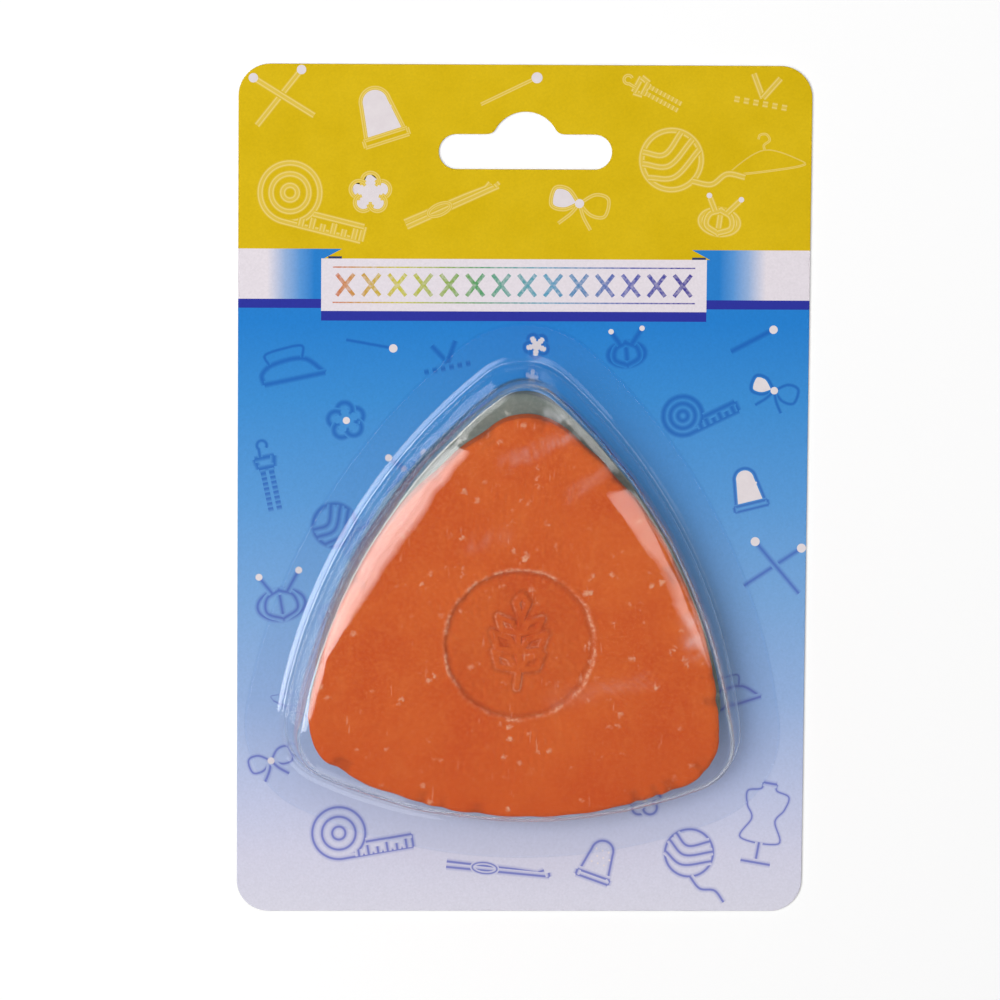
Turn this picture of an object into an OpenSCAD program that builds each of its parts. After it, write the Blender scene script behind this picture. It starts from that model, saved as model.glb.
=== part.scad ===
// A carded blister pack of triangular tailor's chalk.
// A printed card lies flat on the XY plane with its hang slot towards +Y. A clear shell drawn
// from plastic sheet is sealed to its front by a flange, and two loose chalks lie stacked in it.
// The origin is the middle of the card's back face. Sizes are in millimetres, angles in degrees.

/* [Card] */
// Width of the card
card_w = 100; // [98:1:140]
// Height of the card
card_h = 150; // [135:1:200]
// Thickness of the board
card_t = 0.6; // [0.4:0.1:1.5]
// Radius of the card's corners
card_corner_r = 5.6; // [1:0.1:12]

/* [Hang slot] */
// Width of the slot from round end to round end
slot_w = 30.2; // [24:0.1:34]
// Height of the slot's straight part
slot_h = 6.1; // [5:0.1:8]
// Distance from the card's top edge to the slot's centre line
slot_drop = 15.2; // [12:0.1:20]
// Radius of the round bump over the middle of the slot
slot_bump_r = 6; // [4.5:0.1:8]
// Height of the bump's centre above the slot's centre line
slot_bump_rise = 1; // [0:0.1:3]
// Radius that blends the bump into the slot
slot_blend_r = 1.2; // [0.4:0.1:2]

/* [Chalk] */
// Distance between the centres of a chalk's corner arcs
chalk_side = 53.6; // [44:0.1:57]
// Radius of a chalk's corners
chalk_corner_r = 9.1; // [5:0.1:12]
// How far the middle of each side bulges beyond the line between its corners
chalk_bulge = 6.1; // [3:0.1:9]
// Thickness of a chalk
chalk_t = 6.8; // [5:0.1:9]
// Width of the bevel round both faces
chalk_bevel = 0.8; // [0.3:0.1:1.5]
// Diameter of the round mould mark in a chalk's upper face
mark_d = 26; // [14:0.5:32]
// Depth of the mould mark
mark_depth = 0.4; // [0.2:0.1:1]

/* [Clear shell] */
// Thickness of the plastic sheet
sheet_t = 0.5; // [0.3:0.05:0.8]
// Lean of the shell's wall from upright
draft = 12; // [6:0.5:15]
// Gap between the sides of a centred chalk and the shell, at the narrow top of the wall
side_gap = 0.8; // [0.7:0.1:2.5]
// Gap between a centred chalk's upper corner and the shell, at the same level
apex_gap = 5; // [3:0.1:7]
// Gap between a centred chalk's lower corners and the shell, at the same level
corner_gap = 2.6; // [2:0.1:5]
// Radius of the shell's corners inside, at the same level
shell_corner_r = 7.8; // [6:0.1:9]
// Gap between the upper chalk and the shell's roof
headroom = 0.6; // [0.3:0.1:2]
// Outer radius between the wall and the roof
roof_fillet_r = 2; // [1.2:0.1:3]
// Outer radius between the wall and the flange
foot_fillet_r = 1; // [0.4:0.1:2]
// Width of the flat flange beyond the foot of the wall
flange_w = 5.4; // [4:0.1:7]

/* [Placing] */
// Height of the shell's centre above the card's bottom edge
shell_up = 50.4; // [50:0.1:65]
// Sideways place of the shell's centre from the middle of the card
shell_across = -1; // [-2:0.1:2]
// Turn of the shell on the card
shell_turn = -1.5; // [-3:0.1:3]
// Gap under the upper chalk, which has dropped to the bottom of the shell
drop_gap = 0.4; // [0.3:0.1:0.7]
// Sideways place of the upper chalk in the shell
upper_across = 0.1; // [-0.2:0.1:0.2]
// Turn of the upper chalk in the shell
upper_turn = -1; // [-2:0.1:2]
// How far the lower chalk has stayed up from the shell's centre
lower_up = 2.6; // [0:0.1:3]
// Turn of the lower chalk in the shell
lower_turn = 0.5; // [-2:0.1:2]

/* [Hidden] */

// Number of steps along each corner arc, each side arc and each fillet
corner_steps = 14;
side_steps = 12;
fillet_steps = 6;
// Reach of a cutting tool past the face it opens
cut_past = 1;

// How far a small blend arc bites into the lines that it joins, so that they cross cleanly
blend_bite = 0.02;

// Steps in a full circle
$fn = 96;

// A rounded triangle is a skeleton, three points joined by arcs that bulge outwards, with a line
// drawn at a steady distance round it. The distance is the radius of its corners.
function direction(angle) = [cos(angle), sin(angle)];
function length_of(v) = sqrt(v * v);
function corner_angle(k) = 90 + 120 * k;

// Three points at the given distances from the centre, anticlockwise from the upper one
function corners_at(reaches) = [for (k = [0:2]) reaches[k] * direction(corner_angle(k))];

// Distance from the centre to the straight line between two corners
function chord_reach(a, b) = abs(a[0] * b[1] - a[1] * b[0]) / length_of(b - a);

// The arc from a to b, as [centre, radius, angle it faces, half of the angle it spans]
function bulged_arc(a, b, bulge) = let (
    chord = b - a,
    half_chord = length_of(chord) / 2,
    r = (half_chord * half_chord + bulge * bulge) / (2 * bulge),
    facing = atan2(-chord[0], chord[1])
) [(a + b) / 2 - (r - bulge) * direction(facing), r, facing, asin(half_chord / r)];

// The skeleton's points, each with the outward angle there, anticlockwise from the upper corner
function skeleton(corners, bulges) = let (
    arcs = [for (k = [0:2]) bulged_arc(corners[k], corners[(k + 1) % 3], bulges[k])]
) [
    for (k = [0:2]) let (
        before = arcs[(k + 2) % 3],
        arc = arcs[k],
        start = before[2] + before[3],
        finish = arc[2] - arc[3],
        swing = finish < start ? finish + 360 - start : finish - start
    ) each [
        for (i = [0:corner_steps]) [corners[k], start + swing * i / corner_steps],
        for (i = [1:side_steps - 1]) let (angle = arc[2] - arc[3] + 2 * arc[3] * i / side_steps)
            [arc[0] + arc[1] * direction(angle), angle]
    ]
];

// One level of a loft: the skeleton's outline at distance r and height z
function ring(bones, r, z) = [for (b = bones) [each (b[0] + r * direction(b[1])), z]];

// Points of an arc in a profile, as [distance, height]
function profile_arc(centre, r, from, to) = [
    for (i = [0:fillet_steps]) centre + r * direction(from + (to - from) * i / fillet_steps)
];

// A closed solid through rings of equal length, from the first level to the last
module loft(bones, profile) {
    n = len(bones);
    last = len(profile) - 1;
    walls = [
        for (j = [0:last - 1], i = [0:n - 1]) let (
            a = j * n + i,
            b = j * n + (i + 1) % n
        ) each [[a, b, b + n], [a, b + n, a + n]]
    ];
    first_cap = [for (i = [n - 1:-1:0]) i];
    last_cap = [for (i = [0:n - 1]) last * n + i];
    polyhedron(
        points = [for (p = profile) each ring(bones, p[0], p[1])],
        faces = concat(walls, [first_cap, last_cap]),
        convexity = 6
    );
}

// The chalk's three corners are alike
chalk_reach = chalk_side / sqrt(3);
chalk_bones = skeleton(corners_at([for (k = [0:2]) chalk_reach]), [for (k = [0:2]) chalk_bulge]);
chalk_side_reach = chalk_side / (2 * sqrt(3)) + chalk_bulge + chalk_corner_r;

// The shell's corners stand out past the chalk's by the corner gaps, and its sides by the side gap
shell_reach = chalk_reach + chalk_corner_r - shell_corner_r;
shell_corners = corners_at([shell_reach + apex_gap, shell_reach + corner_gap, shell_reach + corner_gap]);
shell_bulges = [
    for (k = [0:2]) chalk_side_reach + side_gap - shell_corner_r
        - chord_reach(shell_corners[k], shell_corners[(k + 1) % 3])
];
shell_bones = skeleton(shell_corners, shell_bulges);

// Heights of the chalks and of the shell
lower_z = card_t;
upper_z = lower_z + chalk_t;
roof_inside_z = upper_z + chalk_t + headroom;
roof_z = roof_inside_z + sheet_t;
wall_top_z = roof_z - roof_fillet_r;
flange_z = card_t + sheet_t;

// Distances of the shell's outside face from its skeleton, where the wall would meet each flat
wall_outside = shell_corner_r + sheet_t / cos(draft);
roof_corner = wall_outside - (roof_z - wall_top_z) * tan(draft);
foot_corner = wall_outside + (wall_top_z - flange_z) * tan(draft);

// Centres of the two fillets, as [distance, height], which their inside and outside faces share
wall_turn = 90 - draft;
roof_centre = [roof_corner - roof_fillet_r * tan(wall_turn / 2), roof_z - roof_fillet_r];
foot_centre = [foot_corner + foot_fillet_r * tan(wall_turn / 2), flange_z + foot_fillet_r];
flange_edge = foot_centre[0] + flange_w;

shell_place = [shell_across, shell_up - card_h / 2];

// Outline of the hang slot about the middle of its centre line: a slot with round ends, a round
// bump over it, and a small arc on each side where the bump runs into the slot
module slot_outline() {
    end_x = (slot_w - slot_h) / 2;
    blend_y = slot_h / 2 + slot_blend_r - blend_bite;
    blend_reach = slot_bump_r + slot_blend_r - blend_bite;
    blend_x = sqrt(pow(blend_reach, 2) - pow(blend_y - slot_bump_rise, 2));
    square([2 * end_x, slot_h], center = true);
    for (x = [-end_x, end_x]) translate([x, 0]) circle(d = slot_h);
    intersection() {
        translate([0, slot_bump_rise]) circle(slot_bump_r);
        translate([-slot_bump_r, 0]) square([2 * slot_bump_r, slot_bump_rise + slot_bump_r]);
    }
    difference() {
        polygon([[-blend_x, 0], [blend_x, 0], [blend_x, blend_y], [0, slot_bump_rise], [-blend_x, blend_y]]);
        for (x = [-blend_x, blend_x]) translate([x, blend_y]) circle(slot_blend_r);
    }
}

// The board: die-cut with round corners and a hang slot
module backing_card() {
    corner_x = card_w / 2 - card_corner_r;
    corner_y = card_h / 2 - card_corner_r;
    color("#3d8fd8") linear_extrude(card_t) difference() {
        union() {
            square([card_w, 2 * corner_y], center = true);
            square([2 * corner_x, card_h], center = true);
            for (x = [-corner_x, corner_x], y = [-corner_y, corner_y])
                translate([x, y]) circle(card_corner_r);
        }
        translate([0, card_h / 2 - slot_drop]) slot_outline();
    }
}

// The clear shell: one sheet drawn over a mould, so its wall keeps its thickness round both
// fillets. The profile runs from the roof's top face out to the flange and back underneath.
module blister_shell() {
    outside = concat(
        profile_arc(roof_centre, roof_fillet_r, 90, draft),
        profile_arc(foot_centre, foot_fillet_r, 180 + draft, 270),
        [[flange_edge, flange_z]]
    );
    inside = concat(
        [[flange_edge, card_t]],
        profile_arc(foot_centre, foot_fillet_r + sheet_t, 270, 180 + draft),
        profile_arc(roof_centre, roof_fillet_r - sheet_t, draft, 90)
    );
    color("#cfe2f5", 0.35) translate(shell_place) rotate(shell_turn)
        loft(shell_bones, concat(outside, inside));
}

// A pressed chalk with bevelled edges and a round mould mark in its upper face
module chalk() {
    levels = [
        [chalk_corner_r - chalk_bevel, 0],
        [chalk_corner_r, chalk_bevel],
        [chalk_corner_r, chalk_t - chalk_bevel],
        [chalk_corner_r - chalk_bevel, chalk_t]
    ];
    difference() {
        loft(chalk_bones, [for (i = [len(levels) - 1:-1:0]) levels[i]]);
        translate([0, 0, chalk_t - mark_depth])
            cylinder(d = mark_d, h = mark_depth + cut_past);
    }
}

module upper_chalk() {
    color("#d0622e") translate(shell_place) rotate(shell_turn)
        translate([upper_across, drop_gap - side_gap, upper_z]) rotate(upper_turn) chalk();
}

module lower_chalk() {
    color("#7b8479") translate(shell_place) rotate(shell_turn)
        translate([0, lower_up, lower_z]) rotate(lower_turn) chalk();
}

backing_card();
blister_shell();
upper_chalk();
lower_chalk();
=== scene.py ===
import math

import bmesh
import bpy
import numpy as np
from mathutils import Matrix, Vector


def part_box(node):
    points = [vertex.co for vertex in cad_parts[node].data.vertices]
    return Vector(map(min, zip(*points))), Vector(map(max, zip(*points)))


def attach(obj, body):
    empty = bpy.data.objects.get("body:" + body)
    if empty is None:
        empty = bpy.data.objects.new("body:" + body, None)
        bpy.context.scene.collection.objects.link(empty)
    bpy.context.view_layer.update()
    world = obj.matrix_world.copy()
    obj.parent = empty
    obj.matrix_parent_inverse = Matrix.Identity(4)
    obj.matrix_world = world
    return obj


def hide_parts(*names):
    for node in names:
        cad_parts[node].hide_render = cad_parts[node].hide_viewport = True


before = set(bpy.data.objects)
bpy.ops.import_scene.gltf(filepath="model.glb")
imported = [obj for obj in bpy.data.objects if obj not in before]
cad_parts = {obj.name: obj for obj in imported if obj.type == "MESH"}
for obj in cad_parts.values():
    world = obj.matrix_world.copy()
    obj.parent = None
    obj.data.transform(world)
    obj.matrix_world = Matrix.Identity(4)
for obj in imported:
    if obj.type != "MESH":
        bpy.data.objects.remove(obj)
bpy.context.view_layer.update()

# Backing board: white-cored pulp board, printed and varnished in front and bare behind. One die
# cuts its outline, its round corners and the hang slot, and leaves their edges a little round.
# Sizes are in millimetres about the middle of the card's back.
MM = 0.001
card_low, card_high = (np.array(corner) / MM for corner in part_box("backing_card"))
card_width, card_height, card_thick = card_high - card_low
card_corner, outline_step = 5.6, 0.6
pressed_edge, edge_steps = 0.12, 5
face_rows, face_margin = 9, 0.15
slot_width, slot_height, slot_drop = 30.2, 6.1, 15.2
slot_bump, slot_bump_rise, slot_blend = 6.0, 1.0, 1.6
slot_middle = np.array([0, card_height / 2 - slot_drop])


def heading(degrees):
    """Unit vectors in the plane at the given angles: cosine and sine side by side."""
    radians = np.radians(degrees)
    return np.stack([np.cos(radians), np.sin(radians)], -1)


def surface(name, points, ring=False, marks=None):
    """A piece from a grid of points in millimetres, rows by columns, whose columns close on
    themselves. The rows end in a pole or a rim, or as a ring close on themselves too. The faces
    are turned so that the volume under them, a sixth of the triple products' sum, is positive. Marks
    are numbers for the material, one for each point."""
    rows, columns = points.shape[:2]
    first = (np.arange(rows if ring else rows - 1) * columns)[:, None]
    here, beside = first + np.arange(columns), first + np.roll(np.arange(columns), -1)
    total = rows * columns
    corners = np.stack([here, beside, (beside + columns) % total, (here + columns) % total], -1)
    corners = corners.reshape(-1, 4)
    flat = points.reshape(-1, 3) * MM
    a, b, c, d = (flat[corners[:, k]] for k in range(4))
    volume = (np.cross(a, b) * c).sum() + (np.cross(a, c) * d).sum()
    if volume < 0:
        corners = corners[:, ::-1]
    mesh = bpy.data.meshes.new(name)
    mesh.from_pydata(flat.tolist(), [], corners.tolist())
    for mark, values in (marks or {}).items():
        mesh.attributes.new(mark, "FLOAT", "POINT").data.foreach_set("value", values.ravel())
    shape = bmesh.new()
    shape.from_mesh(mesh)
    bmesh.ops.remove_doubles(shape, verts=shape.verts, dist=1e-8)
    shape.to_mesh(mesh)
    shape.free()
    mesh.polygons.foreach_set("use_smooth", np.ones(len(mesh.polygons), bool))
    piece = bpy.data.objects.new(name, mesh)
    bpy.context.scene.collection.objects.link(piece)
    return piece


def card_outline(width, height, radius, step, corner_steps=14):
    """A rectangle with round corners, walked anticlockwise: a quarter circle for each corner, with
    evenly spaced points along the side after it. Returns the points and the outward headings."""
    points, outward = [], []
    for k, (right, up) in enumerate([(1, 1), (-1, 1), (-1, -1), (1, -1)]):
        turn = np.linspace(90 * k, 90 * k + 90, corner_steps)
        corner = np.array([right * (width / 2 - radius), up * (height / 2 - radius)])
        length = (height if k % 2 else width) - 2 * radius
        along = np.linspace(0, length, round(length / step))[1:-1, None]
        arc = corner + radius * heading(turn)
        points += [arc, arc[-1] + along * heading(90 * k + 180)]
        outward += [heading(turn), np.repeat(heading([90 * k + 90]), len(along), 0)]
    return np.concatenate(points), np.concatenate(outward)


def slot_reach(angle):
    """How far the hang slot reaches from its middle at an angle: the further of a slot with round
    ends and of a round bump, where they meet blended by a parabola as wide as the blend."""
    across, up = np.abs(heading(angle)[:, 0]), heading(angle)[:, 1]
    half, end = slot_height / 2, (slot_width - slot_height) / 2
    to_flat = half / np.maximum(np.abs(up), 1e-9)
    to_end = end * across + np.sqrt(np.maximum(half**2 - (end * up) ** 2, 0))
    slot = np.where(to_flat * across <= end, to_flat, to_end)
    bump = slot_bump_rise * up + np.sqrt(slot_bump**2 - (slot_bump_rise * across) ** 2)
    bump = np.where(up > 0, bump, 0)
    meeting = np.maximum(slot_blend - np.abs(slot - bump), 0) / slot_blend
    return np.maximum(slot, bump) + meeting**2 * slot_blend / 4


def board_points():
    """The board as a ring of sections. Each runs from the hang slot's edge out to the card's edge
    in front, round that edge, back to the slot behind and up through the slot. A section's two
    ends lie in one direction from the slot's middle. The faces' rows stop a margin before the
    round edges, so that the faces stay flat."""
    edge, edge_out = card_outline(card_width, card_height, card_corner, outline_step)
    angle = np.degrees(np.arctan2(*(edge - slot_middle).T[::-1]))
    slot = slot_middle + slot_reach(angle)[:, None] * heading(angle)
    along = np.roll(slot, -1, 0) - np.roll(slot, 1, 0)
    slot_in = np.stack([-along[:, 1], along[:, 0]], -1) / np.linalg.norm(along, axis=1)[:, None]
    over = pressed_edge * (1 - heading(np.linspace(0, 90, edge_steps))[:, ::-1])
    support = face_margin + pressed_edge
    rows = []

    def level(rim, outward, inset, z):
        rows.append(np.column_stack([rim - inset * outward, np.full(len(rim), z)]))

    def flat(z, shares):
        start, finish = slot - support * slot_in, edge - support * edge_out
        for share in shares:
            rows.append(np.column_stack([start + (finish - start) * share, np.full(len(slot), z)]))

    flat(card_thick, np.linspace(0, 1, face_rows))
    for inset, fall in over:
        level(edge, edge_out, inset, card_thick - fall)
    for inset, fall in over[::-1]:
        level(edge, edge_out, inset, fall)
    flat(0, np.linspace(1, 0, face_rows))
    for inset, fall in over:
        level(slot, slot_in, inset, fall)
    for inset, fall in over[::-1]:
        level(slot, slot_in, inset, card_thick - fall)
    return np.array(rows)


def join(tree, socket, value):
    """Gives an input a value, or links another node's output to it."""
    if isinstance(value, bpy.types.NodeSocket):
        tree.links.new(value, socket)
    else:
        socket.default_value = value


def node(tree, kind, inputs=None, output=0, **settings):
    """A node with its settings and inputs, and the output that others take from it."""
    made = tree.nodes.new("ShaderNode" + kind)
    for name, value in settings.items():
        setattr(made, name, value)
    for key, value in (inputs or {}).items():
        join(tree, made.inputs[key], value)
    return made.outputs[output]


def maths(tree, operation, a, b=0.0):
    """One step of arithmetic on two numbers."""
    return node(tree, "Math", {0: a, 1: b}, operation=operation)


def mixed(tree, share, a, b, blend="MIX"):
    """Two colours, where a share of 0 gives the first and 1 the second."""
    return node(tree, "Mix", {0: share, 6: a, 7: b}, 2, data_type="RGBA", blend_type=blend)


def ramp(tree, share, stops):
    """Colours between stops, each a place from 0 to 1 and a colour."""
    made = tree.nodes.new("ShaderNodeValToRGB")
    elements = made.color_ramp.elements
    while len(elements) < len(stops):
        elements.new(0.5)
    for element, (place, shade) in zip(elements, stops):
        element.position = place
        element.color = shade
    join(tree, made.inputs[0], share)
    return made.outputs[0]


def scaled(tree, value, low, high, to_low=0.0, to_high=1.0):
    """A value's way from low to high, held between the two, as the same way in another range."""
    return node(tree, "MapRange", {0: value, 1: low, 2: high, 3: to_low, 4: to_high})


def ink(red, green, blue):
    """A colour as a screen shows it, from 0 to 255, as the linear light that shaders take."""
    share = np.array([red, green, blue]) / 255
    linear = np.where(share <= 0.04045, share / 12.92, ((share + 0.055) / 1.055) ** 2.4)
    return (*linear.tolist(), 1.0)


def finish_of(name):
    """A new node material with its tree, its Principled shader and the object's coordinates."""
    made = bpy.data.materials.new(name)
    made.use_nodes = True
    tree = made.node_tree
    return made, tree, tree.nodes["Principled BSDF"], node(tree, "TexCoord", output=3)


# Places on the printed front, in millimetres from the card's middle
yellow_foot = 42.7
side_band_foot, side_stripe_foot = 33.9, 32.3
banner_left, banner_right, banner_top, banner_foot, banner_stripe_foot = -35.5, 31.9, 41.0, 31.8, 30.1
print_middle = -1.3
band_white, band_blue = 43.6, 35.4
fold_reach, fold_tip, fold_line = 33.0, 30.6, 41.4
stripe_ink = ink(47, 54, 159)
paper_white = ink(231, 223, 230)


def print_ground(tree, place):
    """The printed front's colours: yellow head, blue field that fades to white at the foot, and a
    ribbon across with pale ends, dark stripes, folded corners and a pale banner."""
    x, y, z = (maths(tree, "MULTIPLY", node(tree, "SeparateXYZ", {0: place}, k), 1 / MM) for k in range(3))
    fade = [(-75, (219, 217, 230)), (-65, (212, 211, 230)), (-55, (195, 201, 229)),
            (-37, (152, 180, 223)), (-19, (124, 170, 221)), (-2, (94, 157, 218)),
            (16, (63, 143, 213)), (30, (39, 129, 209))]
    low, high = fade[0][0], fade[-1][0]
    field = ramp(tree, scaled(tree, y, low, high),
                 [((at - low) / (high - low), ink(*shade)) for at, shade in fade])
    blotch = node(tree, "TexNoise", {"Vector": place, "Scale": 90.0, "Detail": 3.0, "Roughness": 0.6})
    grain = node(tree, "TexNoise", {"Vector": place, "Scale": 2600.0, "Detail": 2.0})
    yellow = mixed(tree, scaled(tree, blotch, 0.35, 0.65), ink(215, 181, 16), ink(221, 187, 24))
    from_middle = maths(tree, "ABSOLUTE", maths(tree, "SUBTRACT", x, print_middle))
    band = ramp(tree, scaled(tree, from_middle, band_blue, band_white),
                [(0.0, ink(42, 128, 206)), (0.3, ink(92, 152, 216)), (0.62, ink(152, 180, 221)),
                 (1.0, paper_white)])

    def above(value, limit):
        return maths(tree, "GREATER_THAN", value, limit)

    def both(first, second):
        return maths(tree, "MULTIPLY", first, second)

    front = mixed(tree, above(y, side_stripe_foot), field, stripe_ink)
    front = mixed(tree, above(y, side_band_foot), front, band)
    slant = maths(tree, "MULTIPLY", maths(tree, "SUBTRACT", y, fold_line),
                  (fold_reach - fold_tip) / (yellow_foot - fold_line))
    in_fold = both(above(y, banner_top), above(fold_reach, maths(tree, "ADD", from_middle, slant)))
    front = mixed(tree, in_fold, front, yellow)
    in_line = both(above(y, banner_top), above(fold_line, y))
    in_line = both(in_line, both(above(from_middle, fold_tip), above(fold_reach, from_middle)))
    front = mixed(tree, in_line, front, ink(52, 62, 96))
    front = mixed(tree, above(y, yellow_foot), front, yellow)
    across_banner = both(above(x, banner_left), above(banner_right, x))
    in_stripe = both(across_banner, both(above(y, banner_stripe_foot), above(banner_foot, y)))
    front = mixed(tree, in_stripe, front, stripe_ink)
    on_banner = both(across_banner, both(above(y, banner_foot), above(banner_top, y)))
    front = mixed(tree, on_banner, front, paper_white)
    shade = scaled(tree, grain, 0.25, 0.75, 0.95, 1.04)
    front = mixed(tree, 1.0, front, node(tree, "CombineColor", {0: shade, 1: shade, 2: shade}), "MULTIPLY")
    return front, y, z


def varnish(tree, shader, front, place):
    """Half-gloss varnish that follows the board's fibres."""
    tree.links.new(front, shader.inputs["Base Color"])
    shader.inputs["Roughness"].default_value = 0.5
    shader.inputs["Specular IOR Level"].default_value = 0.03
    pulp = node(tree, "TexNoise", {"Vector": place, "Scale": 700.0, "Detail": 6.0, "Roughness": 0.7})
    fibres = node(tree, "Bump", {"Strength": 0.12, "Distance": 0.00004, "Height": pulp})
    tree.links.new(fibres, shader.inputs["Normal"])
    return pulp


def printed_board():
    """The print in front; below the pressed front edge the board shows its grey-white pulp."""
    made, tree, shader, place = finish_of("printed_board")
    front, _, z = print_ground(tree, place)
    pulp = varnish(tree, shader, front, place)
    bare = ramp(tree, pulp, [(0.3, ink(196, 193, 188)), (0.5, ink(212, 210, 206)),
                             (0.7, ink(222, 220, 216))])
    in_front = maths(tree, "GREATER_THAN", z, card_thick - pressed_edge * 0.8)
    tree.links.new(mixed(tree, in_front, bare, front), shader.inputs["Base Color"])
    tree.links.new(scaled(tree, in_front, 0.0, 1.0, 0.85, 0.5), shader.inputs["Roughness"])
    return made


def dress(piece, material, body):
    """Gives a piece its material and its body in the frame."""
    piece.data.materials.append(material)
    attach(piece, body)
    return piece


board = dress(surface("printed_backing_board", board_points(), ring=True), printed_board(),
              "card")
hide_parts("backing_card")

# Printed motifs: needlework things in outline, scattered over the card. They are films of ink on the
# board: pale double lines on the yellow, soft darker lines on the blue and thin ones at the foot.
line_half, ink_lift, ink_step = 0.66, 0.006, 0.001
same_place = 1e-6


def arc(x, y, reach, start=0, stop=360, squash=1.0):
    """Points a third of a millimetre apart along a circle, or an ellipse of squashed height,
    between two angles, and at least seven of them."""
    steps = max(int(abs(stop - start) * reach / 20), 7)
    return np.array([x, y]) + reach * heading(np.linspace(start, stop, steps)) * [1, squash]


def curve(*places):
    """A smooth line through places. Each span is a cubic whose end slopes are half the steps
    between the places on either side."""
    knots = np.array(places, float)
    slopes = np.gradient(knots, axis=0)
    t = np.linspace(0, 1, 9)[:-1, None]
    parts = []
    for a, b, from_a, to_b in zip(knots[:-1], knots[1:], slopes[:-1], slopes[1:]):
        parts.append((2 * t**3 - 3 * t**2 + 1) * a + (t**3 - 2 * t**2 + t) * from_a
                     + (3 * t**2 - 2 * t**3) * b + (t**3 - t**2) * to_b)
    return np.concatenate([*parts, knots[-1:]])


def path(*places):
    """Straight lines from place to place."""
    return np.array(places, float)


# Each motif gives its lines about its own middle, and the outlines of its filled dots
def yarn_ball():
    wraps = [curve((-4.6, 2.4), (-1, 1.2), (2.6, 4.4)), curve((-5.1, 0.4), (-0.6, -0.9), (4.3, 2.8)),
             curve((-4.6, -2.2), (0, -3), (5.1, 0.8))]
    tail = curve((2.8, -4.4), (6, -5.6), (9, -4.4), (12, -5.6))
    return [arc(0, 0, 5.2), *wraps, tail], []


def thimble():
    body = np.concatenate([path((-3.7, -3.6)), arc(0, 2.6, 2.7, 180, 0), path((3.7, -3.6))])
    dots = [arc(x + (row % 2) * 0.8, 2.8 - 1.7 * row, 0.28) for row in range(3) for x in (-1.6, 0, 1.6)]
    return [body, path((-4.2, -3.6), (4.2, -3.6), (4.2, -4.9), (-4.2, -4.9), (-4.2, -3.6))], dots


def tape_measure():
    tape = path((0, -5.2), (14, -5.2), (14, -2.6), (4.9, -2.6))
    ticks = [path((x, -5.2), (x, -3.9 + 0.6 * (k % 2))) for k, x in enumerate(np.arange(3.2, 13, 1.9))]
    return [arc(0, 0, 5.2), arc(0, 0, 3.3), arc(0, 0, 1.3), tape, *ticks], []


def crossed_needles():
    lines = [path((-7, -5.5), (5.2, 5.4)), path((7, -5.5), (-5.2, 5.4))]
    return lines, [arc(5.9, 6.0, 1.15), arc(-5.9, 6.0, 1.15)]


def hanger():
    hook = curve((0, 2.4), (0, 3.6), (1.5, 4.6), (0.9, 6.1), (-0.6, 6.2), (-1.2, 5.2))
    shoulders = curve((-8.2, -2.6), (-8.5, -1.4), (0, 2.4), (8.5, -1.4), (8.2, -2.6), (0, -2.8),
                      (-8.2, -2.6))
    return [shoulders, hook], []


def crochet_hook():
    upper = path((-9, 0.5), (3.4, 0.35), (7.2, 0.15), (8.3, 0.7))
    lower = path((-9, -0.5), (3.4, -0.4), (9.4, -0.35), (9.2, 0.35))
    return [upper, lower, arc(-2.2, 0, 2.2, squash=0.45)], []


def zip_pull():
    teeth = [path((side * 0.4, y), (side * 1.7, y)) for y in np.arange(-7, 2.6, 1.25) for side in (-1, 1)]
    slider = path((-1.9, 3), (-2.4, 5.6), (2.4, 5.6), (1.9, 3), (-1.9, 3))
    return [slider, np.concatenate([arc(0, 8.6, 1.2, -40, 220), path((-1, 5.8))]), *teeth], []


def pincushion():
    segments = [curve((0, 3.1), (x, 1.6), (x * 1.15, -1.6), (0, -3.4)) for x in (-3, 3)]
    pins = [path((1.8, 2.6), (4.8, 6.4)), path((-1.6, 2.7), (-3.6, 6.2))]
    lines = [arc(0, -0.2, 5.4, squash=0.64), path((0, 3.1), (0, -3.4)), *segments, *pins]
    return lines, [arc(5.2, 6.9, 0.8), arc(-3.9, 6.8, 0.8)]


def ball_pin():
    return [path((-6.5, -1.6), (5.6, 1.4))], [arc(6.6, 1.6, 1.2)]


def flower():
    petals = [arc(*(2.3 * heading(at)), 1.7, at - 115, at + 115) for at in np.arange(18, 378, 72)]
    return [np.concatenate([*petals, petals[0][:1]])], [arc(0, 0, 0.8)]


def bow():
    lines = [curve((0, 0), (-3, 2.6), (-6, 2.2), (-6, -1.6), (-3, -2), (0, 0)),
             curve((0, 0), (3, 2.6), (6, 2.2), (6, -1.6), (3, -2), (0, 0)),
             curve((0, 0), (-1.4, -2.6), (-3.6, -5.2)), curve((0, 0), (1.4, -2.6), (3.6, -5.2))]
    return lines, [arc(0, 0, 1.0)]


def dress_form():
    side = [(1.3, 6.4), (1.5, 5.2), (3.9, 4.4), (3.5, 1.8), (2.2, -0.6), (3.6, -4.6)]
    left = [(-x, y) for x, y in side[::-1]]
    return [curve(*side, *left), path((-1.3, 6.4), (1.3, 6.4)), path((0, -4.9), (0, -8.6)),
            path((-2.8, -8.8), (2.8, -8.8))], []


def iron():
    sole = curve((-6.4, -2.6), (-6.4, -0.4), (-3.6, 1.2), (2.6, 1.2), (6.4, -2.6))
    handle = curve((-4.6, 1.2), (-5, 3.4), (-1, 4), (2.8, 3.8), (2.4, 1.4))
    return [np.concatenate([sole, sole[:1]]), handle], []


def dart():
    sewing_line = [path((-7 + k * 2.4, -2.6), (-5.7 + k * 2.4, -2.6)) for k in range(6)]
    return [path((-3.4, 4.4), (0, -1.2), (3.4, 4.4)), *sewing_line], []


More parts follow.
